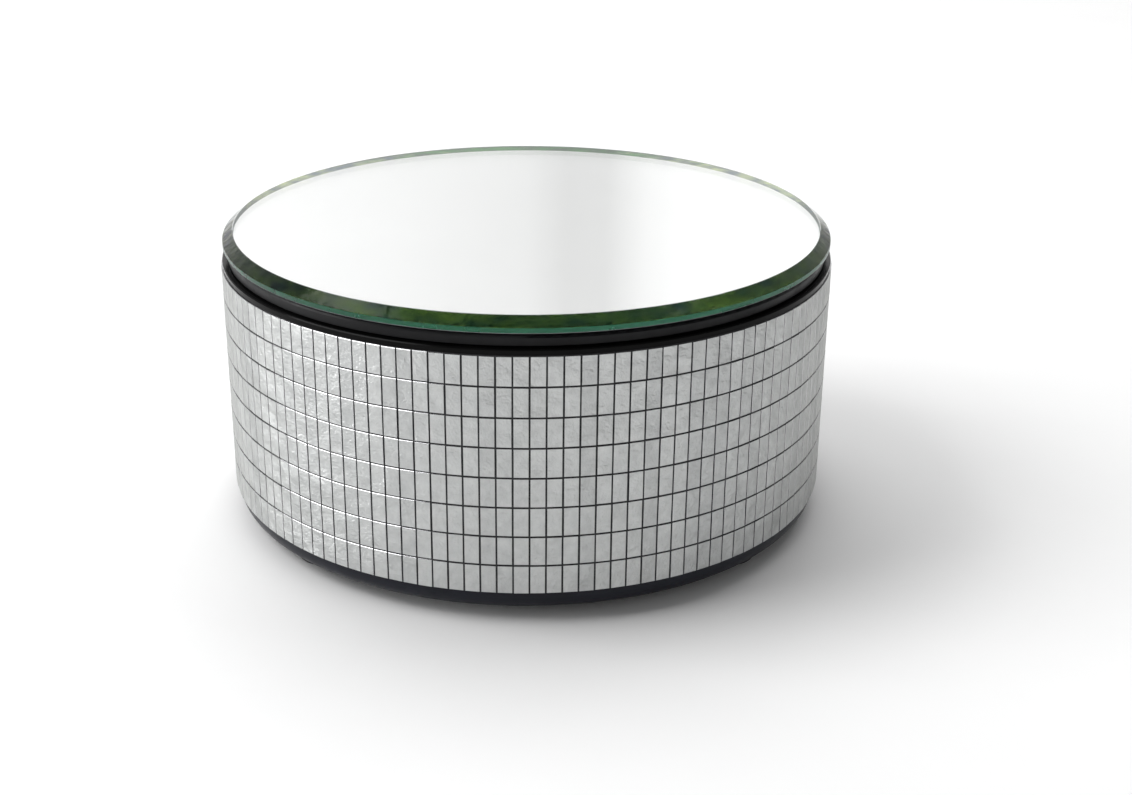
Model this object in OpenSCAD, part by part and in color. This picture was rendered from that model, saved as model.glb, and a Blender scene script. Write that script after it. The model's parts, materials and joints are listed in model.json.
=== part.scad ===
// Motorised turntable display stand. A bevelled mirror disc turns on a thrust ball bearing over a fixed
// drum, whose side is covered with rows of small flat metallic tiles. A geared motor under the deck
// drives the platter through a pinion, and four cells in the base power it through a rocker switch.
// The origin is on the floor under the centre of the drum, +Z is up and -Y is the front.

/* [Mirror disc] */
// Diameter of the mirror disc
glass_d = 200; // [165:1:300]
// Thickness of the glass
glass_t = 4.4; // [3.6:0.1:8]
// Width of the bevel, measured across the top
bevel_w = 3.4; // [1:0.1:10]
// How far the bevel drops from the top face
bevel_drop = 2.7; // [0.5:0.1:3.2]
// Thickness of the silvering and its paint under the glass
silver_t = 0.2; // [0.1:0.05:0.6]
// Thickness of the foam tape ring between mirror and platter
tape_t = 0.5; // [0.3:0.1:2]

/* [Platter] */
// How far the platter's edge stands in from the edge of the glass
platter_inset = 1.5; // [0.5:0.1:5]
// Height of the platter's edge
platter_edge_h = 3.5; // [2.5:0.1:8]
// Radius of the rounding on the platter's top edge
platter_round = 1.2; // [0.4:0.1:2]
// Gap between the platter's edge and the drum's lip
platter_gap = 0.5; // [0.3:0.1:3]

/* [Drum] */
// Height of one row of tiles, groove included
row_pitch = 9.45; // [7.5:0.05:14]
// Number of tiles in a row
tiles_around = 130; // [60:1:180]
// Width of the groove between tiles
tile_gap = 0.42; // [0.2:0.02:1]
// Angle from the front to the middle of the nearest tile
tile_turn = 1.9; // [0:0.1:3]
// Thickness of a tile
tile_t = 0.6; // [0.3:0.05:1.5]
// Thickness of the sheet that the tiles are glued to
sheet_t = 0.4; // [0.2:0.05:1]
// How far the face of the tiles stands out past the edge of the glass
band_overhang = 0.85; // [0:0.05:5]
// Wall thickness of the drum
wall_t = 2.65; // [1.8:0.05:5]
// Height of the black lip above the tiles
lip_h = 1.7; // [0.8:0.1:5]
// How far the lip stands out over the drum wall
lip_out = 0.55; // [0.1:0.05:1]
// Thickness of the deck
deck_t = 3; // [2:0.1:6]

/* [Base and feet] */
// Height of the base rim
base_h = 6.6; // [6:0.1:14]
// Radius of the rounding under the base rim
base_round = 5; // [2:0.1:5.5]
// Thickness of the base plate
plate_t = 3; // [2.6:0.1:4]
// Height of the feet below the base
foot_h = 3.5; // [2.6:0.1:10]
// Diameter of the feet
foot_d = 18; // [14:0.5:22]
// Angle of each foot from the front or back of the drum
foot_angle = 49; // [44:1:60]

/* [Bearing and drive] */
// Radius of the ring of balls
ball_ring_r = 70; // [60:0.5:72]
// Diameter of the balls
ball_d = 5; // [4:0.1:7]
// Number of balls
ball_count = 18; // [8:1:30]
// Diameter of the spindle
spindle_d = 8; // [6:0.1:12]
// Tooth module of the gears
gear_module = 1; // [0.9:0.05:1.05]
// Diameter of the motor's output shaft
shaft_d = 6; // [4:0.1:8]
// Diameter of the gearbox
gearbox_d = 37; // [36:0.5:42]
// Height of the gearbox
gearbox_h = 20; // [15:0.5:22]
// Diameter of the motor can
can_d = 30; // [20:0.5:34]
// Height of the motor can
can_h = 32; // [20:0.5:34]

/* [Battery case] */
// Diameter of a cell
cell_d = 14.2; // [10:0.1:15]
// Length of a cell, contact nub included
cell_h = 50.4; // [44:0.1:52]
// Radial clearance of turning fits
running = 0.05; // [0.02:0.01:0.1]
// Clearance around loose fits
loose = 0.3; // [0.2:0.05:0.5]

/* [Hidden] */
$fn = 96;
tile_rows = 8;
eps = 0.01;

// radii of the drum, from the glass inwards
glass_r = glass_d / 2;
band_r = glass_r + band_overhang;
sheet_r = band_r - tile_t;
wall_r = sheet_r - sheet_t;
wall_in_r = wall_r - wall_t;
platter_r = glass_r - platter_inset;

// levels, from the floor upwards
z_base = foot_h;
z_plate = z_base + plate_t;
z_band = z_base + base_h;
z_band_top = z_band + tile_rows * row_pitch;
z_lip = z_band_top + lip_h;
z_skirt = z_lip + platter_gap;
z_platter = z_skirt + platter_edge_h;
z_silver = z_platter + tape_t;
z_glass = z_silver + silver_t;
z_top = z_glass + glass_t;

// platter disc and the space between it and the deck, which the bearing fills
disc_t = platter_edge_h - 0.5;
z_disc = z_platter - disc_t;
race_t = 2;
race_w = 10;
groove_depth = 0.3;
z_deck = z_disc - 2 * race_t - ball_d + 2 * groove_depth;
z_under = z_deck - deck_t;
z_balls = z_deck + race_t - groove_depth + ball_d / 2;

// gears: teeth, pitch radii and centre distance
gear_teeth = 72;
pinion_teeth = 18;
pressure_angle = 20;
tooth_thinning = 0.1;
gear_r = gear_module * gear_teeth / 2;
pinion_r = gear_module * pinion_teeth / 2;
shaft_y = gear_r + pinion_r;
gear_t = 5;
z_gear = z_disc - gear_t;
gear_hub_r = spindle_d / 2 + 5;
gear_screw_ring = gear_r * 0.7;

// gearbox and motor, hung under the deck with the output shaft off centre
shaft_offset = 7;
motor_y = shaft_y + shaft_offset;
gearbox_boss_r = shaft_d / 2 + 3;
gearbox_screw_ring = gearbox_d / 2 - 3;
z_can = z_under - gearbox_h;
z_can_end = z_can - can_h;

// fasteners: M3 pan-head screws
screw_r = 1.5;
screw_hole_r = 1.7;
head_r = 2.75;
head_t = 1.8;

// base tray, its posts and its feet
spigot_t = 2.2;
spigot_h = 4;
spigot_r = wall_in_r - 0.2;
spigot_in_r = spigot_r - spigot_t;
post_r = 4.5;
post_ring = spigot_in_r - post_r - 2.3;
post_angle = 20;
foot_r = foot_d / 2;
foot_ring = wall_r - base_round - foot_r - 0.35;
foot_seat = 1;
foot_head_z = 0.8;

// battery case: four cells side by side over a door in the base plate
cell_pitch = cell_d + 0.6;
box_wall = 1.5;
leaf_t = 0.5;
leaf_bulge = 2.3;
box_in_w = 4 * cell_pitch + 0.8;
box_in_l = cell_h + 2 * (leaf_t + leaf_bulge);
box_back_y = -9;
box_front_y = box_back_y - box_in_l;
box_mid_y = (box_back_y + box_front_y) / 2;
door_t = 2.5;
door_rib_h = 1.2;
z_cell = z_base + door_t + door_rib_h + cell_d / 2;
z_box_top = z_cell + cell_d / 2 + 1.1 + box_wall;
hinge_y = box_back_y + 4.7;
z_hinge = z_base + door_t / 2;
hinge_pin_r = 0.8;
hinge_pin_l = 2.5;
box_lug_w = 7.5;
box_lug_t = 2;
z_lug = z_plate + 5.5;

// rocker switch in a well of the base plate
switch_x = -(wall_r - 38);
switch_l = 18.6;
switch_w = 12.6;
flange_over = 1.2;
flange_t = 1.5;
well_depth = 5;
well_wall = 1.5;
well_clear = 2;
well_floor_t = 2;
z_well = z_base + well_depth;
z_flange = z_well - flange_t;
z_pivot = z_flange + 2.5;
rocker_r = 6.7;
rocker_w = 8.4;
rocker_depth = 2.9;
rocker_tilt = 10;
rocker_pin_r = 1;
switch_h = 13.5;
z_switch_top = z_well + switch_h;
blade_h = 6;
blade_y = 5;

// leads
lead_r = 0.8;
tab_h = 4;
z_lead = z_box_top + 6;
lead_x = gearbox_d / 2 + 3.7;
motor_tab_x = 7;

// ---- small helpers ----

module at_angles(ring, angles) {
    for (a = angles) rotate([0, 0, a]) translate([ring, 0, 0]) children();
}

module ring(outer_r, inner_r, h) {
    difference() {
        cylinder(r = outer_r, h = h);
        translate([0, 0, -1]) cylinder(r = inner_r, h = h + 2);
    }
}

// a pan-head screw with its head's underside at z = 0 and its shank going up
module screw_up(shank_l) {
    translate([0, 0, -head_t]) cylinder(r = head_r, h = head_t);
    cylinder(r = screw_r, h = shank_l);
}

module screw_down(shank_l) {
    rotate([180, 0, 0]) screw_up(shank_l);
}

module centred_box(w, d, h) {
    translate([-w / 2, -d / 2, 0]) cube([w, d, h]);
}

// involute gear outline with its teeth thinned for backlash
function involute(a) = tan(a) * 180 / PI - a;
function half_tooth(r, base_r, pitch_half) =
    pitch_half + involute(pressure_angle) - involute(acos(min(1, base_r / r)));

module gear_outline(teeth, phase) {
    pitch_r = gear_module * teeth / 2;
    base_r = pitch_r * cos(pressure_angle);
    tip_r = pitch_r + gear_module;
    root_r = pitch_r - 1.25 * gear_module;
    low_r = max(base_r, root_r);
    pitch_half = (90 / teeth) - tooth_thinning / 2 / pitch_r * 180 / PI;
    steps = 5;
    flank = [for (i = [0:steps]) low_r + (tip_r - low_r) * i / steps];
    polygon([for (t = [0:teeth - 1]) let (mid = phase + t * 360 / teeth) each concat(
        [let (a = mid - half_tooth(low_r, base_r, pitch_half)) [root_r * cos(a), root_r * sin(a)]],
        [for (r = flank) let (a = mid - half_tooth(r, base_r, pitch_half)) [r * cos(a), r * sin(a)]],
        [for (i = [steps:-1:0]) let (r = flank[i], a = mid + half_tooth(r, base_r, pitch_half))
            [r * cos(a), r * sin(a)]],
        [let (a = mid + half_tooth(low_r, base_r, pitch_half)) [root_r * cos(a), root_r * sin(a)]]
    )]);
}

// ---- turning pieces ----

module mirror_glass() {
    color("honeydew", 0.6)
    translate([0, 0, z_glass])
    rotate_extrude()
    polygon([
        [0, 0], [glass_r, 0], [glass_r, glass_t - bevel_drop],
        [glass_r - bevel_w, glass_t], [0, glass_t]
    ]);
}

module mirror_silvering() {
    color("gainsboro")
    translate([0, 0, z_silver]) cylinder(r = glass_r - 0.5, h = silver_t);
}

module foam_tape() {
    color("dimgray")
    translate([0, 0, z_platter]) ring(platter_r - platter_round - 2, platter_r * 0.65, tape_t);
}

washer_r = spindle_d / 2 + 3.5;
ledge_t = 0.6;
washer_t = 0.6;
z_washer = z_disc + ledge_t + 0.2;

module platter() {
    color("#1a1a1c")
    difference() {
        translate([0, 0, z_skirt])
        rotate_extrude()
        union() {
            square([platter_r, platter_edge_h - platter_round]);
            square([platter_r - platter_round, platter_edge_h]);
            translate([platter_r - platter_round, platter_edge_h - platter_round])
                circle(r = platter_round, $fn = 48);
        }
        translate([0, 0, z_skirt - 1]) cylinder(r = platter_r - 2.5, h = 1 + z_disc - z_skirt);
        translate([0, 0, z_disc - 1]) cylinder(r = spindle_d / 2 + 0.5, h = disc_t + 2);
        translate([0, 0, z_disc + ledge_t]) cylinder(r = washer_r + 1, h = disc_t);
        at_angles(gear_screw_ring, [45, 135, 225, 315])
            translate([0, 0, z_disc - eps]) cylinder(r = screw_r, h = disc_t - 0.8);
    }
}

module platter_gear() {
    color("ivory")
    difference() {
        union() {
            translate([0, 0, z_gear]) linear_extrude(gear_t) gear_outline(gear_teeth, 0);
            translate([0, 0, z_deck + 0.5]) cylinder(r = gear_hub_r, h = gear_t);
        }
        translate([0, 0, z_deck]) cylinder(r = spindle_d / 2 + running, h = z_disc - z_deck + 1);
        at_angles(gear_screw_ring, [45, 135, 225, 315])
            translate([0, 0, z_gear - 1]) cylinder(r = screw_hole_r, h = gear_t + 2);
    }
}

module gear_screws() {
    color("silver")
    at_angles(gear_screw_ring, [45, 135, 225, 315])
        translate([0, 0, z_gear]) screw_up(gear_t + disc_t - 1);
}

// ---- bearing ----

module race_groove() {
    rotate_extrude() translate([ball_ring_r, z_balls]) circle(r = ball_d / 2 + running, $fn = 48);
}

module race(z) {
    difference() {
        translate([0, 0, z]) ring(ball_ring_r + race_w / 2, ball_ring_r - race_w / 2, race_t);
        race_groove();
    }
}

module upper_race() {
    color("silver") race(z_disc - race_t);
}

module lower_race() {
    color("silver") race(z_deck);
}

cage_t = ball_d * 0.36;
cage_w = 7;

module ball_cage() {
    color("whitesmoke")
    difference() {
        translate([0, 0, z_balls - cage_t / 2])
            ring(ball_ring_r + cage_w / 2, ball_ring_r - cage_w / 2, cage_t);
        at_angles(ball_ring_r, [for (i = [0:ball_count - 1]) i * 360 / ball_count])
            translate([0, 0, z_balls - cage_t]) cylinder(r = ball_d / 2 + running, h = 2 * cage_t);
    }
}

module bearing_balls() {
    color("lightgray")
    at_angles(ball_ring_r, [for (i = [0:ball_count - 1]) i * 360 / ball_count])
        translate([0, 0, z_balls]) sphere(r = ball_d / 2, $fn = 32);
}

// ---- spindle ----

spindle_boss_h = 14;
spindle_sink = 12;
spindle_thread_l = 9;

module spindle() {
    color("silver")
    difference() {
        translate([0, 0, z_deck - spindle_sink])
            cylinder(r = spindle_d / 2, h = z_washer - z_deck + spindle_sink);
        translate([0, 0, z_washer - spindle_thread_l]) cylinder(r = screw_r, h = spindle_thread_l + 1);
    }
}

module spindle_washer() {
    color("silver") translate([0, 0, z_washer]) ring(washer_r, screw_hole_r, washer_t);
}

module spindle_screw() {
    color("silver")
    translate([0, 0, z_washer + washer_t]) {
        cylinder(r = head_r, h = z_platter - z_washer - washer_t);
        translate([0, 0, -washer_t - spindle_thread_l + 1])
            cylinder(r = screw_r, h = washer_t + spindle_thread_l);
    }
}

// ---- drum ----

post_angles = [post_angle, 180 - post_angle, 180 + post_angle, 360 - post_angle];
pilot_l = 10;
rib_t = 3;
z_rib = z_band + spigot_h + 0.5;

module lip_section() {
    polygon([
        [wall_in_r, z_band], [wall_r, z_band], [wall_r, z_band_top], [wall_r + lip_out, z_band_top],
        [wall_r + lip_out, z_lip - 0.3], [wall_r + lip_out - 0.3, z_lip], [wall_in_r, z_lip]
    ]);
}

module housing() {
    color("#1a1a1c")
    difference() {
        union() {
            rotate_extrude() lip_section();
            translate([0, 0, z_under]) cylinder(r = wall_in_r + 1, h = deck_t);
            translate([0, 0, z_deck - spindle_boss_h]) cylinder(r = spindle_d / 2 + 5, h = spindle_boss_h);
            at_angles(post_ring, post_angles) {
                translate([0, 0, z_band]) cylinder(r = post_r, h = z_deck - z_band - 1);
                translate([post_r - 1, -rib_t / 2, z_rib])
                    cube([wall_in_r - post_ring - post_r + 2, rib_t, z_deck - z_rib - 1]);
            }
        }
        translate([0, 0, z_deck - spindle_sink]) cylinder(r = spindle_d / 2, h = spindle_sink + 1);
        translate([0, shaft_y, z_under - 1]) cylinder(r = gearbox_boss_r + 0.2, h = deck_t + 2);
        gearbox_screw_places() translate([0, 0, z_under - 1]) cylinder(r = screw_hole_r, h = deck_t + 2);
        at_angles(post_ring, post_angles)
            translate([0, 0, z_band - 1]) cylinder(r = screw_r, h = pilot_l + 1);
    }
}

module tile_backing() {
    color("gray") translate([0, 0, z_band]) ring(sheet_r, wall_r, tile_rows * row_pitch);
}

tile_w = 2 * band_r * tan(180 / tiles_around) - tile_gap;
tile_h = row_pitch - tile_gap;

module tile_row(row) {
    color("lightsteelblue")
    for (i = [0:tiles_around - 1])
        rotate([0, 0, i * 360 / tiles_around - 90 + tile_turn])
        translate([sheet_r, -tile_w / 2, z_band + (row - 1) * row_pitch + tile_gap / 2])
        cube([tile_t, tile_w, tile_h]);
}

// ---- gearmotor ----

gearbox_screw_l = deck_t + 6;

module gearbox_screw_places() {
    for (a = [-20, 200, 270])
        translate([gearbox_screw_ring * cos(a), motor_y + gearbox_screw_ring * sin(a), 0]) children();
}

module gearbox() {
    color("silver")
    difference() {
        union() {
            translate([0, motor_y, z_can]) cylinder(r = gearbox_d / 2, h = gearbox_h);
            translate([0, shaft_y, z_can]) cylinder(r = gearbox_boss_r, h = gearbox_h + deck_t);
        }
        translate([0, shaft_y, z_under - 8]) cylinder(r = shaft_d / 2 + running, h = deck_t + 9);
        gearbox_screw_places()
            translate([0, 0, z_deck - gearbox_screw_l]) cylinder(r = screw_r, h = gearbox_screw_l + 1);
    }
}

module motor_can() {
    color("darkgray") translate([0, motor_y, z_can_end]) cylinder(r = can_d / 2, h = can_h);
}

module gearbox_screws() {
    color("silver") gearbox_screw_places() translate([0, 0, z_deck]) screw_down(gearbox_screw_l);
}

module output_shaft() {
    color("silver")
    translate([0, shaft_y, z_under - 7.8]) cylinder(r = shaft_d / 2, h = z_disc - 0.4 - z_under + 7.8);
}

module pinion() {
    color("ivory")
    translate([0, shaft_y, z_gear - 0.4])
    difference() {
        linear_extrude(gear_t) gear_outline(pinion_teeth, 90 + 180 / pinion_teeth);
        translate([0, 0, -1]) cylinder(r = shaft_d / 2, h = gear_t + 2);
    }
}

// ---- base ----

foot_angles = [90 - foot_angle, 90 + foot_angle, 270 - foot_angle, 270 + foot_angle];
foot_boss_h = 5;

module base_section() {
    difference() {
        union() {
            translate([0, z_base]) square([wall_r - base_round, base_h]);
            translate([0, z_base + base_round]) square([wall_r, base_h - base_round]);
            translate([wall_r - base_round, z_base + base_round]) circle(r = base_round, $fn = 96);
            translate([spigot_in_r, z_base + plate_t]) square([spigot_t, base_h - plate_t + spigot_h]);
        }
        translate([0, z_plate]) square([spigot_in_r, base_h + spigot_h]);
        translate([spigot_r, z_band]) square([wall_r, base_h]);
    }
}

module base_tray() {
    color("#1a1a1c")
    difference() {
        union() {
            rotate_extrude() base_section();
            at_angles(post_ring, post_angles)
                translate([0, 0, z_plate - 1]) cylinder(r = post_r, h = z_band - z_plate + 1);
            at_angles(foot_ring, foot_angles)
                translate([0, 0, z_plate - 1]) cylinder(r = post_r, h = foot_boss_h + 1);
            for (s = [-1, 1])
                translate([s * (box_in_w / 2 + box_wall + box_lug_w / 2), box_mid_y, z_plate - 1])
                    cylinder(r = 3.5, h = z_lug - z_plate + 1);
            translate([switch_x, 0, z_plate - 1])
                centred_box(
                    switch_w + 2 * (flange_over + well_clear + well_wall),
                    switch_l + 2 * (flange_over + well_clear + well_wall),
                    z_well + well_floor_t - z_plate + 1
                );
        }
        at_angles(post_ring, post_angles) {
            translate([0, 0, z_base - 1]) cylinder(r = head_r + 0.4, h = head_t + 2);
            translate([0, 0, z_base]) cylinder(r = screw_hole_r, h = base_h + 1);
        }
        at_angles(foot_ring, foot_angles) {
            translate([0, 0, z_base - 1]) cylinder(r = foot_r + 0.1, h = foot_seat + 1);
            translate([0, 0, z_base]) cylinder(r = screw_r, h = plate_t + foot_boss_h - 1);
        }
        for (s = [-1, 1])
            translate([s * (box_in_w / 2 + box_wall + box_lug_w / 2), box_mid_y, z_plate])
                cylinder(r = screw_r, h = z_lug);
        door_opening();
        translate([switch_x, 0, z_base - 1])
            centred_box(
                switch_w + 2 * (flange_over + well_clear),
                switch_l + 2 * (flange_over + well_clear),
                well_depth + 1
            );
        translate([switch_x, 0, z_base])
            centred_box(switch_w + 0.4, switch_l + 0.4, well_depth + well_floor_t + 1);
    }
}

// the opening under the cells, the holes of the door's hinge pins and a fingernail recess
module door_opening() {
    translate([-box_in_w / 2, box_front_y, z_base - 1])
        cube([box_in_w, hinge_y + door_t / 2 + loose - box_front_y, plate_t + 2]);
    translate([0, hinge_y, z_hinge]) rotate([0, 90, 0])
        translate([0, 0, -box_in_w / 2 - hinge_pin_l])
            cylinder(r = hinge_pin_r + running, h = box_in_w + 2 * hinge_pin_l);
    translate([0, box_front_y - 2, z_base - 1]) cylinder(r = 8, h = 2.2);
}

module base_screws() {
    color("silver")
    at_angles(post_ring, post_angles)
        translate([0, 0, z_base + head_t + 1]) screw_up(z_band + pilot_l - z_base - head_t - 2);
}

module feet() {
    color("#141414")
    at_angles(foot_ring, foot_angles)
    difference() {
        rotate_extrude()
        union() {
            translate([0, 1.5]) square([foot_r, foot_h + foot_seat - 1.5]);
            square([foot_r - 1.5, foot_h]);
            translate([foot_r - 1.5, 1.5]) circle(r = 1.5, $fn = 48);
        }
        translate([0, 0, -1]) cylinder(r = head_r + 0.4, h = foot_head_z + head_t + 1);
        cylinder(r = screw_hole_r, h = foot_h + foot_seat + 1);
    }
}

module foot_screws() {
    color("silver")
    at_angles(foot_ring, foot_angles)
        translate([0, 0, foot_head_z + head_t]) screw_up(z_plate + foot_boss_h - 2 - foot_head_z - head_t);
}

// ---- battery case ----

tab_slot_w = 5;
cell_xs = [for (i = [0:3]) (i - 1.5) * cell_pitch];

module battery_box() {
    color("#202022")
    difference() {
        union() {
            translate([-box_in_w / 2 - box_wall, box_front_y - box_wall, z_plate])
                cube([box_in_w + 2 * box_wall, box_in_l + 2 * box_wall, z_box_top - z_plate]);
            for (s = [-1, 1])
                translate([s * (box_in_w / 2 + box_wall + box_lug_w / 2), box_mid_y, z_lug])
                    centred_box(box_lug_w + 1, 8, box_lug_t);
        }
        translate([-box_in_w / 2, box_front_y, z_plate - 1])
            cube([box_in_w, box_in_l, z_box_top - box_wall - z_plate + 1]);
        for (s = [-1, 1]) {
            translate([s * (box_in_w / 2 + box_wall + box_lug_w / 2), box_mid_y, z_lug - 1])
                cylinder(r = screw_hole_r, h = box_lug_t + 2);
            translate([s * cell_xs[3] - tab_slot_w / 2 - 0.2, box_back_y - leaf_t - 0.2, z_box_top - 3])
                cube([tab_slot_w + 0.4, leaf_t + 0.2, 4]);
        }
    }
}

module box_screws() {
    color("silver")
    for (s = [-1, 1])
        translate([s * (box_in_w / 2 + box_wall + box_lug_w / 2), box_mid_y, z_lug + box_lug_t])
            screw_down(box_lug_t + 5);
}

// a flat strip against the end wall of the case, with a bent leaf that presses on each cell
module contact(x_low, x_high, leaves, back) {
    y_wall = back ? box_back_y : box_front_y;
    side = back ? -1 : 1;
    strip_h = 10;
    translate([x_low, min(y_wall, y_wall + side * leaf_t), z_cell - strip_h / 2])
        cube([x_high - x_low, leaf_t, strip_h]);
    for (x = leaves)
        translate([x + 3, y_wall + side * leaf_t, z_cell])
        rotate([90, 0, -90])
        linear_extrude(6)
        polygon([
            for (p = [[0, 4.5], [leaf_bulge, 0.6], [leaf_bulge, -0.6], [0, -4.5],
                      [0, -4], [leaf_bulge - leaf_t, 0], [0, 4]]) [-side * p[0], p[1]]
        ]);
}

module battery_contacts() {
    color("silver") {
        contact(cell_xs[0] - 3, cell_xs[1] + 3, [cell_xs[0], cell_xs[1]], false);
        contact(cell_xs[2] - 3, cell_xs[3] + 3, [cell_xs[2], cell_xs[3]], false);
        contact(cell_xs[1] - 3, cell_xs[2] + 3, [cell_xs[1], cell_xs[2]], true);
        for (x = [cell_xs[0], cell_xs[3]]) {
            contact(x - 3, x + 3, [x], true);
            translate([x - tab_slot_w / 2, box_back_y - leaf_t, z_cell])
                cube([tab_slot_w, leaf_t, z_box_top + tab_h - z_cell]);
        }
    }
}

nub_r = 2.6;
nub_h = 1;

module cells() {
    color("goldenrod")
    for (i = [0:3])
        translate([cell_xs[i], box_mid_y, z_cell])
        rotate([i % 2 == 0 ? 90 : -90, 0, 0])
        translate([0, 0, -cell_h / 2]) {
            cylinder(r = cell_d / 2, h = cell_h - nub_h);
            cylinder(r = nub_r, h = cell_h);
        }
}

module battery_door() {
    door_w = box_in_w - 2 * loose;
    door_front_y = box_front_y + loose;
    color("#1a1a1c")
    union() {
        translate([-door_w / 2, door_front_y, z_base]) cube([door_w, hinge_y - door_front_y, door_t]);
        translate([-door_w / 2, hinge_y, z_hinge]) rotate([0, 90, 0]) cylinder(r = door_t / 2, h = door_w);
        translate([-box_in_w / 2 - hinge_pin_l + loose, hinge_y, z_hinge]) rotate([0, 90, 0])
            cylinder(r = hinge_pin_r, h = box_in_w + 2 * hinge_pin_l - 2 * loose);
        for (y = [box_mid_y - 15, box_mid_y + 15])
            translate([-door_w / 2 + 2, y - 0.75, z_base + door_t - 0.5])
                cube([door_w - 4, 1.5, door_rib_h + 0.5]);
    }
}

// ---- switch ----

module at_switch() {
    translate([switch_x, 0, 0]) rotate([0, 0, 90]) children();
}

module switch_case() {
    window_l = 2 * rocker_r + 0.6;
    window_w = rocker_w + 0.6;
    color("#202022")
    at_switch()
    difference() {
        union() {
            translate([0, 0, z_flange])
                centred_box(switch_l + 2 * flange_over, switch_w + 2 * flange_over, flange_t);
            translate([0, 0, z_flange]) centred_box(switch_l, switch_w, flange_t + switch_h);
        }
        translate([0, 0, z_flange - 1]) centred_box(window_l, window_w, z_pivot + 4 - z_flange + 1);
        translate([0, 0, z_pivot]) rotate([90, 0, 0])
            translate([0, 0, -window_w / 2 - 1.1])
                cylinder(r = rocker_pin_r + running, h = window_w + 2.2);
    }
}

// a rocker with a shallow valley across its face, resting with one end pressed in
module switch_rocker() {
    color("crimson")
    at_switch()
    translate([0, 0, z_pivot]) rotate([0, rocker_tilt, 0])
    union() {
        difference() {
            rotate([90, 0, 0]) translate([0, 0, -rocker_w / 2]) cylinder(r = rocker_r, h = rocker_w);
            translate([0, 0, 1]) centred_box(4 * rocker_r, 2 * rocker_w, 2 * rocker_r);
            for (s = [-1, 1])
                translate([0, 0, -rocker_depth]) rotate([0, s * rocker_tilt, 0])
                translate([s * rocker_r, 0, -2 * rocker_r])
                    centred_box(2 * rocker_r, 2 * rocker_w, 2 * rocker_r);
        }
        rotate([90, 0, 0]) translate([0, 0, -rocker_w / 2 - 1.2])
            cylinder(r = rocker_pin_r, h = rocker_w + 2.4);
    }
}

module terminals() {
    color("gold") {
        for (s = [-1, 1]) {
            at_switch() translate([s * blade_y, 0, z_switch_top]) centred_box(0.8, 4.8, blade_h);
            translate([s * motor_tab_x, motor_y, z_can_end - tab_h]) centred_box(0.6, 3, tab_h);
        }
    }
}

// ---- leads ----

// a round lead through points, each joined to the next by a straight length along one axis
module lead(points) {
    for (i = [0:len(points) - 2]) {
        step = points[i + 1] - points[i];
        translate(points[i])
        rotate(step[0] != 0 ? [0, sign(step[0]) * 90, 0]
            : step[1] != 0 ? [-sign(step[1]) * 90, 0, 0]
            : [step[2] < 0 ? 180 : 0, 0, 0])
            cylinder(r = lead_r, h = norm(step));
        if (i > 0) translate(points[i]) sphere(r = lead_r, $fn = 32);
    }
}

module leads() {
    tab_y = box_back_y - leaf_t / 2;
    z_tab = z_box_top + tab_h;
    z_blade = z_switch_top + blade_h;
    z_motor_tab = z_can_end - tab_h / 2;
    z_high = max(z_lead, z_blade + 2) + 3;
    color("red")
    lead([
        [cell_xs[0], tab_y, z_tab], [cell_xs[0], tab_y, z_lead + 2], [cell_xs[0], -blade_y, z_lead + 2],
        [switch_x, -blade_y, z_lead + 2], [switch_x, -blade_y, z_blade]
    ]);
    color("red")
    lead([
        [switch_x, blade_y, z_blade], [switch_x, blade_y, z_high], [-lead_x, blade_y, z_high],
        [-lead_x, motor_y, z_high], [-lead_x, motor_y, z_motor_tab],
        [-motor_tab_x - 0.3, motor_y, z_motor_tab]
    ]);
    color("black")
    lead([
        [cell_xs[3], tab_y, z_tab], [cell_xs[3], tab_y, z_lead], [lead_x, tab_y, z_lead],
        [lead_x, motor_y, z_lead], [lead_x, motor_y, z_motor_tab],
        [motor_tab_x + 0.3, motor_y, z_motor_tab]
    ]);
}

mirror_glass();
mirror_silvering();
foam_tape();
platter();
platter_gear();
gear_screws();
upper_race();
ball_cage();
bearing_balls();
lower_race();
spindle();
spindle_washer();
spindle_screw();
housing();
tile_backing();
tile_row(1);  // tile_row_1
tile_row(2);  // tile_row_2
tile_row(3);  // tile_row_3
tile_row(4);  // tile_row_4
tile_row(5);  // tile_row_5
tile_row(6);  // tile_row_6
tile_row(7);  // tile_row_7
tile_row(8);  // tile_row_8
gearbox();
motor_can();
gearbox_screws();
output_shaft();
pinion();
base_tray();
base_screws();
feet();
foot_screws();
battery_box();
box_screws();
battery_contacts();
cells();
battery_door();
switch_case();
switch_rocker();
terminals();
leads();
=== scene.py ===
"""Turntable display stand: looks, light and camera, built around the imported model."""
import json
import math
import random

import bmesh
import bpy
from mathutils import Matrix, Vector


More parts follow.
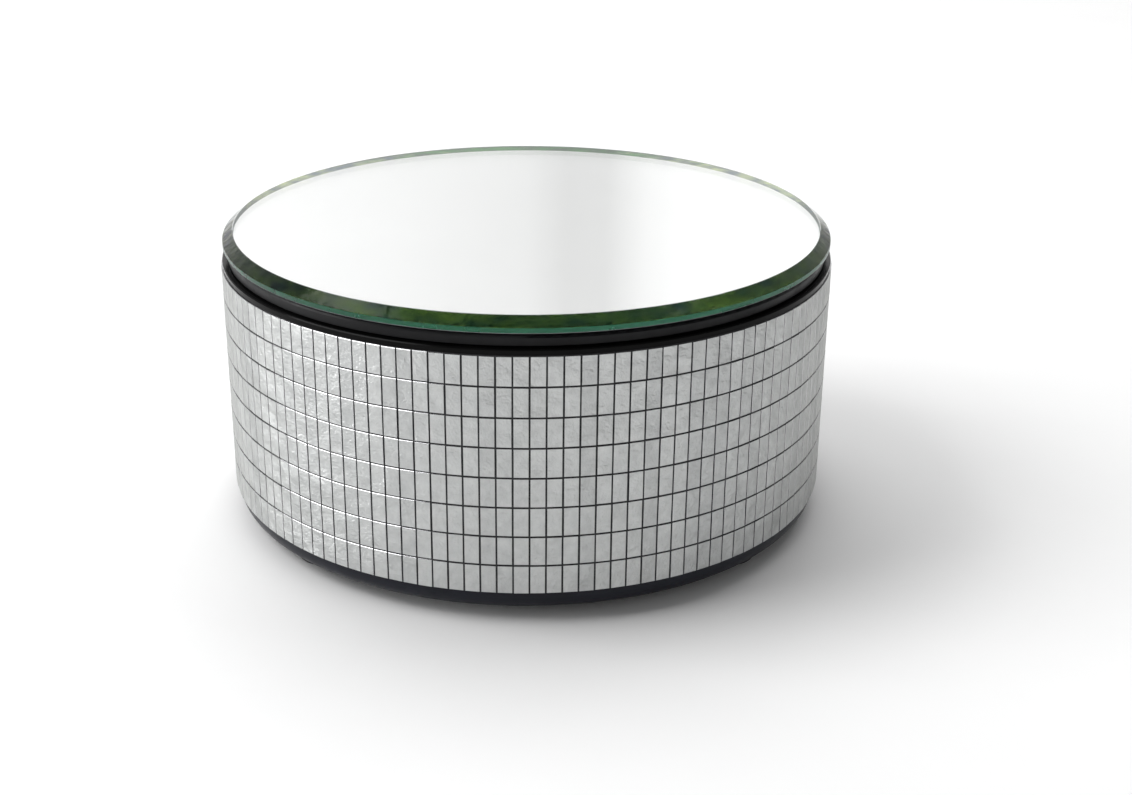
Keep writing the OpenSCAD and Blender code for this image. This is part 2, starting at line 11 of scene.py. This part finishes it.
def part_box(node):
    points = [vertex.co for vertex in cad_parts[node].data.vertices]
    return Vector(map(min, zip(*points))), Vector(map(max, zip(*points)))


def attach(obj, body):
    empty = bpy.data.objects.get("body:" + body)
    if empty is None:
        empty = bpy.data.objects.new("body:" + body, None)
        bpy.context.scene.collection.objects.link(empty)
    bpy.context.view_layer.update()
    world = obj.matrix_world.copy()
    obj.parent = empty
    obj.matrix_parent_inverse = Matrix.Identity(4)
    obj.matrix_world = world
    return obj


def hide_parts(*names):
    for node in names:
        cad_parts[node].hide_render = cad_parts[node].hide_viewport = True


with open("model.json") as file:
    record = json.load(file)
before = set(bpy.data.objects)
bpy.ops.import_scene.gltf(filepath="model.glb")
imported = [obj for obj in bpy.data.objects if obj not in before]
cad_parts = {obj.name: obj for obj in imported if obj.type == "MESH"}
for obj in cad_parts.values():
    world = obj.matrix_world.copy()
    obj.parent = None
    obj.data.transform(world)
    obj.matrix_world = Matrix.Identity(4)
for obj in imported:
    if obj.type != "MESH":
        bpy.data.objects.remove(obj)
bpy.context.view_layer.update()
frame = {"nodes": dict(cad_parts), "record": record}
MM = 0.001

# ---- sizes taken from the frame ----

glass_low, glass_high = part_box("mirror_glass")
band_low, band_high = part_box("tile_backing")
GLASS_R = glass_high.x
GLASS_Z = glass_low.z
GLASS_TOP = glass_high.z
SHEET_R = band_high.x
TILE_ROWS = 8
TILES_AROUND = 130
BAND_R = max(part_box(f"tile_row_{row + 1}")[1].x for row in range(TILE_ROWS))
ROW_PITCH = (band_high.z - band_low.z) / TILE_ROWS


# ---- mesh helpers ----

def new_object(name, mesh, body, materials, replaced=()):
    """Links a mesh as a named piece that rides on a body and stands for CAD nodes."""
    piece = bpy.data.objects.new(name, mesh)
    bpy.context.scene.collection.objects.link(piece)
    for material in materials:
        mesh.materials.append(material)
    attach(piece, body)
    if replaced:
        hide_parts(*replaced)
    return piece


def lathe(name, outline, segments, sharp_deg=25):
    """A closed mesh turned about Z from (radius, height) points, which run from axis to axis."""
    bm = bmesh.new()
    rings = []
    for radius, height in outline:
        if radius < 1e-7:
            rings.append([bm.verts.new((0, 0, height))])
            continue
        turn = 2 * math.pi / segments
        rings.append([
            bm.verts.new((radius * math.cos(i * turn), radius * math.sin(i * turn), height))
            for i in range(segments)
        ])
    for band, (low, high) in enumerate(zip(rings, rings[1:])):
        for i in range(segments):
            j = (i + 1) % segments
            if len(low) == 1:
                face = bm.faces.new((low[0], high[j], high[i]))
            elif len(high) == 1:
                face = bm.faces.new((low[i], low[j], high[0]))
            else:
                face = bm.faces.new((low[i], low[j], high[j], high[i]))
            face.smooth = True
            face.material_index = band
    bmesh.ops.recalc_face_normals(bm, faces=bm.faces)
    mesh = bpy.data.meshes.new(name)
    bm.to_mesh(mesh)
    bm.free()
    mesh.set_sharp_from_angle(angle=math.radians(sharp_deg))
    return mesh


# ---- material helpers ----

# sockets of the Mix node when it blends colours
MIX_A, MIX_B, MIX_RESULT = 6, 7, 2


def material(name, colour, roughness, metallic=0.0, **extra):
    """A new material with one Principled shader; its even values sit on the shader's own sockets."""
    made = bpy.data.materials.new(name)
    made.use_nodes = True
    shader = made.node_tree.nodes["Principled BSDF"]
    shader.inputs["Base Color"].default_value = (*colour, 1)
    shader.inputs["Roughness"].default_value = roughness
    shader.inputs["Metallic"].default_value = metallic
    for key, value in extra.items():
        shader.inputs[key.replace("_", " ")].default_value = value
    return made


def node(made, kind, **settings):
    """Adds a node to a material and sets its properties or inputs by name."""
    added = made.node_tree.nodes.new(kind)
    for key, value in settings.items():
        label = key.replace("_", " ")
        if label in added.inputs:
            added.inputs[label].default_value = value
        else:
            setattr(added, key, value)
    return added


def link(made, source, target):
    made.node_tree.links.new(source, target)


def noise(made, size, detail=3.0, stretch=(1, 1, 1)):
    """A noise pattern whose features are about size metres across, in the piece's own frame."""
    place = node(made, "ShaderNodeTexCoord")
    scaled = node(made, "ShaderNodeMapping")
    scaled.inputs["Scale"].default_value = stretch
    pattern = node(made, "ShaderNodeTexNoise", Scale=1 / size, Detail=detail)
    link(made, place.outputs["Object"], scaled.inputs["Vector"])
    link(made, scaled.outputs["Vector"], pattern.inputs["Vector"])
    return pattern.outputs["Fac"]


def spread(made, value, low, high):
    """Maps a noise value from its usual range to low..high."""
    mapped = node(made, "ShaderNodeMapRange")
    mapped.inputs["From Min"].default_value = 0.3
    mapped.inputs["From Max"].default_value = 0.7
    mapped.inputs["To Min"].default_value = low
    mapped.inputs["To Max"].default_value = high
    link(made, value, mapped.inputs["Value"])
    return mapped.outputs["Result"]


def vary_colour(made, value, first, second):
    """Blends the base colour between two colours by a value from 0 to 1."""
    blend = node(made, "ShaderNodeMix", data_type="RGBA")
    blend.inputs[MIX_A].default_value = (*first, 1)
    blend.inputs[MIX_B].default_value = (*second, 1)
    link(made, value, blend.inputs[0])
    link(made, blend.outputs[MIX_RESULT], made.node_tree.nodes["Principled BSDF"].inputs["Base Color"])


def vary_roughness(made, value, low, high):
    shader = made.node_tree.nodes["Principled BSDF"]
    link(made, spread(made, value, low, high), shader.inputs["Roughness"])


def bump(made, value, height, over=None):
    """Raises the surface by value times height metres, on top of another bump when one is given."""
    raised = node(made, "ShaderNodeBump", Distance=height)
    link(made, value, raised.inputs["Height"])
    if over:
        link(made, over.outputs["Normal"], raised.inputs["Normal"])
    link(made, raised.outputs["Normal"], made.node_tree.nodes["Principled BSDF"].inputs["Normal"])
    return raised


# ---- materials ----

def moulded(name, dark, light, roughness, specular=0.5, grain=0.35 * MM, depth=0.012 * MM):
    """Injection-moulded plastic: fine grain, faint colour drift and uneven gloss."""
    made = material(name, dark, roughness, Specular_IOR_Level=specular)
    vary_colour(made, spread(made, noise(made, 12 * MM), 0, 1), dark, light)
    vary_roughness(made, noise(made, 5 * MM), roughness * 0.85, roughness * 1.2)
    bump(made, noise(made, grain, 2), depth)
    return made


def machined(name, colour, roughness, stretch=(1, 1, 12)):
    """Bare or plated metal with fine drawn lines."""
    made = material(name, colour, roughness, 1.0)
    darker = tuple(channel * 0.78 for channel in colour)
    vary_colour(made, spread(made, noise(made, 3 * MM, 4, stretch), 0, 1), darker, colour)
    vary_roughness(made, noise(made, 1 * MM, 4, stretch), roughness * 0.8, roughness * 1.3)
    bump(made, noise(made, 0.4 * MM, 3, stretch), 0.004 * MM)
    return made


def rubber():
    """Matt black rubber for the feet."""
    made = material("foot_rubber_look", (0.012, 0.012, 0.013), 0.62)
    bloom = spread(made, noise(made, 4 * MM), 0, 1)
    vary_colour(made, bloom, (0.010, 0.010, 0.011), (0.022, 0.022, 0.024))
    vary_roughness(made, noise(made, 2 * MM), 0.52, 0.75)
    bump(made, noise(made, 0.25 * MM, 3), 0.02 * MM)
    return made


def glass(name="float_glass"):
    """Clear float glass: the green comes from absorption along the path inside."""
    made = material(name, (1, 1, 1), 0.0)
    shader = made.node_tree.nodes["Principled BSDF"]
    shader.inputs["Transmission Weight"].default_value = 1.0
    shader.inputs["IOR"].default_value = 1.52
    absorb = node(made, "ShaderNodeVolumeAbsorption")
    absorb.inputs["Color"].default_value = (0.10, 0.78, 0.50, 1)
    absorb.inputs["Density"].default_value = 3.5
    link(made, absorb.outputs["Volume"], made.node_tree.nodes["Material Output"].inputs["Volume"])
    return made


def bevel_glass():
    """The polished bevel: the same glass, a little uneven, with cloudy green and slate patches painted
    into its colour as reflection of the surroundings.
    """
    made = glass("bevel_glass")
    # green and slate patches painted in as reflection of the surroundings in the bevel
    painted_reflection_patches = spread(made, noise(made, 9 * MM, 4, (1, 1, 3)), -0.2, 1.2)
    shader = made.node_tree.nodes["Principled BSDF"]
    shader.inputs["Specular Tint"].default_value = (0.05, 0.06, 0.05, 1)
    vary_colour(made, painted_reflection_patches, (0.03, 0.09, 0.14), (0.48, 0.66, 0.15))
    vary_roughness(made, noise(made, 2 * MM), 0.05, 0.14)
    bump(made, noise(made, 4 * MM, 3), 0.3 * MM)
    return made


def rim_glass():
    """The ground rim of the glass, finely frosted and deeper green."""
    made = glass("rim_glass")
    shader = made.node_tree.nodes["Principled BSDF"]
    shader.inputs["Specular Tint"].default_value = (0.45, 0.55, 0.50, 1)
    drift = spread(made, noise(made, 6 * MM), 0, 1)
    vary_colour(made, drift, (0.07, 0.29, 0.21), (0.11, 0.36, 0.27))
    vary_roughness(made, noise(made, 8 * MM), 0.26, 0.32)
    return made


def silver():
    """The mirror's silver, a plain reflector with a barely uneven tone."""
    made = material("mirror_silver", (0.90, 0.91, 0.91), 0.0, 1.0)
    drift = spread(made, noise(made, 60 * MM, 2), 0, 1)
    vary_colour(made, drift, (0.905, 0.888, 0.893), (0.925, 0.908, 0.913))
    return made


def back_paint():
    """The grey paint that covers the back of the silver."""
    made = material("mirror_back_paint", (0.20, 0.21, 0.22), 0.5)
    drift = spread(made, noise(made, 8 * MM), 0, 1)
    vary_colour(made, drift, (0.17, 0.18, 0.19), (0.24, 0.25, 0.26))
    bump(made, noise(made, 0.6 * MM), 0.01 * MM)
    return made


def tile_metal():
    """Satin silver tile faces: each tile has its own tone, with a soft cloudy gloss and fine pebbles."""
    made = material("tile_silver", (0.5, 0.5, 0.5), 0.55, 1.0)
    island = node(made, "ShaderNodeNewGeometry").outputs["Random Per Island"]
    cloud = spread(made, noise(made, 2.5 * MM, 5), 0, 1)
    cloud_share = 0.5
    both = node(made, "ShaderNodeMath", operation="MULTIPLY_ADD")
    both.inputs[1].default_value = cloud_share
    link(made, cloud, both.inputs[0])
    own_tone = node(made, "ShaderNodeMath", operation="MULTIPLY")
    own_tone.inputs[1].default_value = 1 - cloud_share
    link(made, island, own_tone.inputs[0])
    link(made, own_tone.outputs[0], both.inputs[2])
    vary_colour(made, both.outputs[0], (0.49, 0.50, 0.50), (0.61, 0.62, 0.615))
    made.node_tree.nodes["Principled BSDF"].inputs["Specular Tint"].default_value = (0.60, 0.60, 0.58, 1)
    vary_roughness(made, noise(made, 3 * MM, 4), 0.36, 0.56)
    waves = bump(made, noise(made, 8 * MM, 3), 1.5 * MM)
    bump(made, noise(made, 0.8 * MM, 6), 0.30 * MM, waves)
    return made


def tile_edge():
    """The burnished bevelled edges of the tiles."""
    made = material("tile_edge_silver", (0.5, 0.5, 0.5), 0.2, 1.0)
    drift = spread(made, noise(made, 3 * MM), 0, 1)
    vary_colour(made, drift, (0.42, 0.42, 0.43), (0.55, 0.55, 0.56))
    vary_roughness(made, noise(made, 1 * MM), 0.14, 0.24)
    return made


def painted_shade_tile_walls():
    """The cut sides of the tiles, painted dark as the shade in the gaps between tiles."""
    made = material("tile_wall_painted_shade", (0.03, 0.03, 0.035), 0.6)
    # random drift within the painted shade
    shade_drift = spread(made, noise(made, 1 * MM), 0, 1)
    vary_colour(made, shade_drift, (0.02, 0.02, 0.024), (0.05, 0.05, 0.055))
    bump(made, noise(made, 0.5 * MM), 0.02 * MM)
    return made


def foam():
    """Black double-sided foam tape."""
    made = material("tape_foam", (0.03, 0.03, 0.03), 0.9)
    vary_colour(made, spread(made, noise(made, 1 * MM), 0, 1), (0.02, 0.02, 0.02), (0.05, 0.05, 0.05))
    bump(made, noise(made, 0.4 * MM), 0.05 * MM)
    return made


black_plastic = moulded("satin_black", (0.003, 0.003, 0.003), (0.005, 0.005, 0.005), 0.15, 0.06)
# the navy tint in this black is painted reflection, the bluish sheen along the base rim
navy_sheen_plastic = moulded("base_black_painted_navy_sheen", (0.006, 0.007, 0.012), (0.010, 0.011, 0.019), 0.35, 0.22)
platter_plastic = moulded("platter_black", (0.004, 0.004, 0.005), (0.007, 0.007, 0.008), 0.40, 0.20)
inner_plastic = moulded("inner_black", (0.02, 0.02, 0.02), (0.04, 0.04, 0.04), 0.5)
steel = machined("polished_steel", (0.62, 0.62, 0.63), 0.18)
zinc = machined("zinc_plate", (0.55, 0.55, 0.56), 0.32)
LOOKS = {
    "foam_tape": foam(),
    "gear_plastic": moulded("natural_acetal", (0.66, 0.62, 0.52), (0.76, 0.73, 0.64), 0.42),
    "screws": zinc,
    "bearing_steel": steel,
    "cage_plastic": moulded("natural_nylon", (0.68, 0.68, 0.64), (0.80, 0.80, 0.77), 0.45),
    "housing_plastic": black_plastic,
    "platter_plastic": platter_plastic,
    "tile_backing": moulded("backing_sheet", (0.012, 0.012, 0.014), (0.03, 0.03, 0.035), 0.55),
    "gearbox_metal": machined("gearbox_steel", (0.56, 0.56, 0.55), 0.35, (1, 1, 6)),
    "motor_metal": machined("motor_can_steel", (0.42, 0.42, 0.43), 0.38, (1, 1, 6)),
    "foot_rubber": rubber(),
    "inner_plastic": inner_plastic,
    "contact_metal": machined("nickel_strip", (0.66, 0.64, 0.60), 0.28),
    "cell_wrap": moulded("cell_sleeve", (0.03, 0.09, 0.20), (0.05, 0.13, 0.26), 0.28),
    "rocker_plastic": moulded("rocker_red", (0.30, 0.012, 0.012), (0.38, 0.02, 0.02), 0.25),
    "terminal_brass": machined("terminal_brass", (0.72, 0.52, 0.22), 0.3),
    "lead_sleeve": moulded("lead_sleeve", (0.25, 0.01, 0.01), (0.34, 0.02, 0.02), 0.45),
    "silvering": back_paint(),
}

# the underside is a duller black than the drum, with a navy tint painted in as the bluish reflection
# along the base rim
NODE_LOOKS = {"base_tray": navy_sheen_plastic, "battery_door": navy_sheen_plastic}


def dress_cad_nodes():
    """Gives every CAD node that stays in view its own look or that of its material slot."""
    for part in frame["record"]["subparts"]:
        look = NODE_LOOKS.get(part["node"], LOOKS.get(part["material_slot"]))
        if look is None:
            continue
        mesh = frame["nodes"][part["node"]].data
        mesh.materials.clear()
        mesh.materials.append(look)


# ---- mirror disc ----

def mirror_disc():
    """The bevelled glass with its silver on the inside of the bottom face."""
    bevel_w = 3.4 * MM
    bevel_drop = 2.7 * MM
    arris = 0.12 * MM
    bottom_chamfer = 0.35 * MM
    clear_of_paint = 0.02 * MM
    slope = math.atan2(bevel_drop, bevel_w)
    z_rim = GLASS_TOP - bevel_drop
    z_mirror = GLASS_Z + clear_of_paint
    outline = [
        (0, z_mirror),
        (GLASS_R - bottom_chamfer, z_mirror),
        (GLASS_R, z_mirror + bottom_chamfer),
        (GLASS_R, z_rim - arris),
        (GLASS_R - arris * math.cos(slope), z_rim + arris * math.sin(slope)),
        (GLASS_R - bevel_w + arris * math.cos(slope), GLASS_TOP - arris * math.sin(slope)),
        (GLASS_R - bevel_w - arris, GLASS_TOP),
        (0, GLASS_TOP),
    ]
    mesh = lathe("mirror_disc", outline, segments=360, sharp_deg=8)
    looks = [silver(), rim_glass(), bevel_glass(), glass()]
    # silvered bottom, ground rim with its chamfer, polished bevel with its lower arris, clear top
    looks_by_band = [0, 1, 1, 2, 2, 3, 3]
    for face in mesh.polygons:
        face.material_index = looks_by_band[face.material_index]
    return new_object("mirror_disc", mesh, "platter", looks, ["mirror_glass"])


# ---- tiles ----

TILE_GAP = 0.42 * MM
TILE_CHAMFER_SIDE = 0.07 * MM
TILE_CHAMFER_TOP = 0.15 * MM
TILE_CHAMFER_BOTTOM = 0.05 * MM
TILE_TURN = math.radians(1.9)
# tiles are this much thinner than in the CAD, so that tipped ones stay inside its box
TILE_INSET = 0.11 * MM
# standard deviations of each tile's place and tilt
PLACE_SLIP = 0.03 * MM
HEIGHT_SLIP = 0.02 * MM
TIP_DEG = 0.35
ROLL_DEG = 0.12
# materials of a tile: face, burnished edge, cut side painted dark as shade
FACE, EDGE, SIDE = 0, 1, 2


def add_tile(bm, place, width, height, depth):
    """One tile: a slab with chamfered front edges, its back on the sheet. Local X points outwards."""
    top = height / 2
    face_low = TILE_CHAMFER_BOTTOM - top
    face_high = top - TILE_CHAMFER_TOP
    levels = [
        (0.0, width / 2, -top, top),
        (depth - TILE_CHAMFER_TOP, width / 2, -top, top),
        (depth, width / 2 - TILE_CHAMFER_SIDE, face_low, face_high),
    ]
    rings = []
    for x, side, low, high in levels:
        corners = [(-side, low), (side, low), (side, high), (-side, high)]
        rings.append([bm.verts.new(place @ Vector((x, y, z))) for y, z in corners])
    back, shoulder, face = rings
    top_wall = 2
    bm.faces.new(reversed(back))
    bm.faces.new(face).material_index = FACE
    for i in range(4):
        j = (i + 1) % 4
        wall = bm.faces.new((back[i], back[j], shoulder[j], shoulder[i]))
        # the top wall keeps the edge metal; the bottom and side walls take the side look, painted dark as
        # the shade in the gaps
        wall.material_index = EDGE if i == top_wall else SIDE
        chamfer = bm.faces.new((shoulder[i], shoulder[j], face[j], face[i]))
        chamfer.material_index = EDGE


def tile_rows():
    """Eight rows of separate tiles, each set by hand: a little turned, tipped and off its place."""
    chance = random.Random(7)
    looks = [tile_metal(), tile_edge(), painted_shade_tile_walls()]
    depth = BAND_R - SHEET_R
    width = 2 * BAND_R * math.tan(math.pi / TILES_AROUND) - TILE_GAP
    height = ROW_PITCH - TILE_GAP
    for row in range(TILE_ROWS):
        bm = bmesh.new()
        z = band_low.z + (row + 0.5) * ROW_PITCH
        for i in range(TILES_AROUND):
            angle = i * 2 * math.pi / TILES_AROUND - math.pi / 2 + TILE_TURN
            shift = chance.gauss(0, PLACE_SLIP)
            tip = Matrix.Rotation(math.radians(chance.gauss(0, TIP_DEG)), 4, "Y")
            yaw = Matrix.Rotation(math.radians(chance.gauss(0, TIP_DEG)), 4, "Z")
            roll = Matrix.Rotation(math.radians(chance.gauss(0, ROLL_DEG)), 4, "X")
            place = (
                Matrix.Rotation(angle, 4, "Z")
                @ Matrix.Translation((SHEET_R, shift, z + chance.gauss(0, HEIGHT_SLIP)))
                @ tip @ yaw @ roll
            )
            add_tile(bm, place, width, height, depth - TILE_INSET)
        bmesh.ops.recalc_face_normals(bm, faces=bm.faces)
        mesh = bpy.data.meshes.new(f"tiles_{row + 1}")
        bm.to_mesh(mesh)
        bm.free()
        new_object(f"tiles_{row + 1}", mesh, "drum", looks, [f"tile_row_{row + 1}"])


# ---- floor, light and camera ----

def floor():
    """White paper under the stand, left out of the exported part."""
    reach = 6.0
    mesh = bpy.data.meshes.new("floor")
    corners = [(-reach, -reach, 0), (reach, -reach, 0), (reach, reach, 0), (-reach, reach, 0)]
    mesh.from_pydata(corners, [], [(0, 1, 2, 3)])
    paper = material("floor_paper", (0.92, 0.92, 0.92), 0.9, Specular_IOR_Level=0.1)
    drift = spread(paper, noise(paper, 40 * MM), 0, 1)
    vary_colour(paper, drift, (0.915, 0.915, 0.915), (0.925, 0.925, 0.925))
    mesh.materials.append(paper)
    made = bpy.data.objects.new("floor", mesh)
    bpy.context.scene.collection.objects.link(made)


def sky():
    """A white studio wall behind with a soft grey band in it, dimmer at the sides and above."""
    wall_top_deg = 35
    ceiling_deg = 60
    ceiling = 0.14
    world = bpy.data.worlds.new("studio")
    bpy.context.scene.world = world
    world.use_nodes = True
    tree = world.node_tree
    background = tree.nodes["Background"]
    coords = tree.nodes.new("ShaderNodeTexCoord")
    split = tree.nodes.new("ShaderNodeSeparateXYZ")
    tree.links.new(coords.outputs["Generated"], split.inputs[0])
    azimuth = tree.nodes.new("ShaderNodeMath")
    azimuth.operation = "ARCTAN2"
    tree.links.new(split.outputs["X"], azimuth.inputs[0])
    tree.links.new(split.outputs["Y"], azimuth.inputs[1])
    turn = tree.nodes.new("ShaderNodeMapRange")
    turn.inputs["From Min"].default_value = math.radians(-180)
    turn.inputs["From Max"].default_value = math.radians(180)
    tree.links.new(azimuth.outputs[0], turn.inputs["Value"])
    wall = tree.nodes.new("ShaderNodeValToRGB")
    # (azimuth in degrees from behind the stand towards +X, brightness)
    stops = [
        (-180, 0.56), (-120, 0.32), (-75, 0.22), (-45, 0.5), (-25, 0.9), (-12, 1.21),
        (0.6, 0.95), (1.8, 0.81), (2.6, 0.82), (3.3, 0.98), (5.2, 1.16), (14, 1.25),
        (20, 0.6), (50, 0.35), (75, 0.08), (120, 0.24), (180, 0.56),
    ]
    ramp = wall.color_ramp
    while len(ramp.elements) < len(stops):
        ramp.elements.new(0.5)
    for element, (degrees, level) in zip(ramp.elements, stops):
        element.position = (degrees + 180) / 360
        element.color = (level, level, level, 1)
    tree.links.new(turn.outputs[0], wall.inputs["Fac"])
    height = tree.nodes.new("ShaderNodeMapRange")
    height.inputs["From Min"].default_value = math.sin(math.radians(wall_top_deg))
    height.inputs["From Max"].default_value = math.sin(math.radians(ceiling_deg))
    tree.links.new(split.outputs["Z"], height.inputs["Value"])
    mix = tree.nodes.new("ShaderNodeMix")
    mix.data_type = "RGBA"
    tree.links.new(height.outputs[0], mix.inputs[0])
    tree.links.new(wall.outputs["Color"], mix.inputs[MIX_A])
    mix.inputs[MIX_B].default_value = (ceiling, ceiling, ceiling, 1)
    tree.links.new(mix.outputs[MIX_RESULT], background.inputs["Color"])
    background.inputs["Strength"].default_value = 1.0


def soft_box(name, azimuth, elevation, size, power):
    """A large soft box facing the object; azimuth is in degrees from +Y towards +X."""
    distance = 3.0
    turn, lift = math.radians(azimuth), math.radians(elevation)
    direction = Vector((math.cos(lift) * math.sin(turn), math.cos(lift) * math.cos(turn), math.sin(lift)))
    data = bpy.data.lights.new(name, "AREA")
    data.shape = "RECTANGLE"
    data.size, data.size_y = size
    data.energy = power
    made = bpy.data.objects.new(name, data)
    made.location = distance * direction
    made.rotation_euler = direction.to_track_quat("Z", "Y").to_euler()
    bpy.context.scene.collection.objects.link(made)


def camera():
    """The photograph's viewpoint, measured from the top of the tiled band."""
    in_front = 541.0 * MM
    above_band = 169.7 * MM
    downward_deg = 22.48
    data = bpy.data.cameras.new("camera")
    data.sensor_width = 36
    data.lens = 53.64
    data.shift_x = 0.035
    made = bpy.data.objects.new("camera", data)
    made.location = (0, -in_front, band_high.z + above_band)
    made.rotation_euler = (math.radians(90 - downward_deg), 0, 0)
    bpy.context.scene.collection.objects.link(made)
    bpy.context.scene.camera = made


def studio():
    """Floor, wall and lights, with bounces enough for light to cross the glass many times."""
    bounces = 40
    scene = bpy.context.scene
    scene.view_settings.view_transform = "Standard"
    scene.cycles.max_bounces = bounces
    scene.cycles.glossy_bounces = bounces
    scene.cycles.transmission_bounces = bounces
    floor()
    sky()
    soft_box("key", -93, 47, (1.8, 1.8), 54)
    soft_box("overhead", 2, 66, (3.8, 2.0), 57)
    soft_box("window", -94, 8, (0.9, 0.7), 27)


dress_cad_nodes()
mirror_disc()
tile_rows()
camera()
studio()
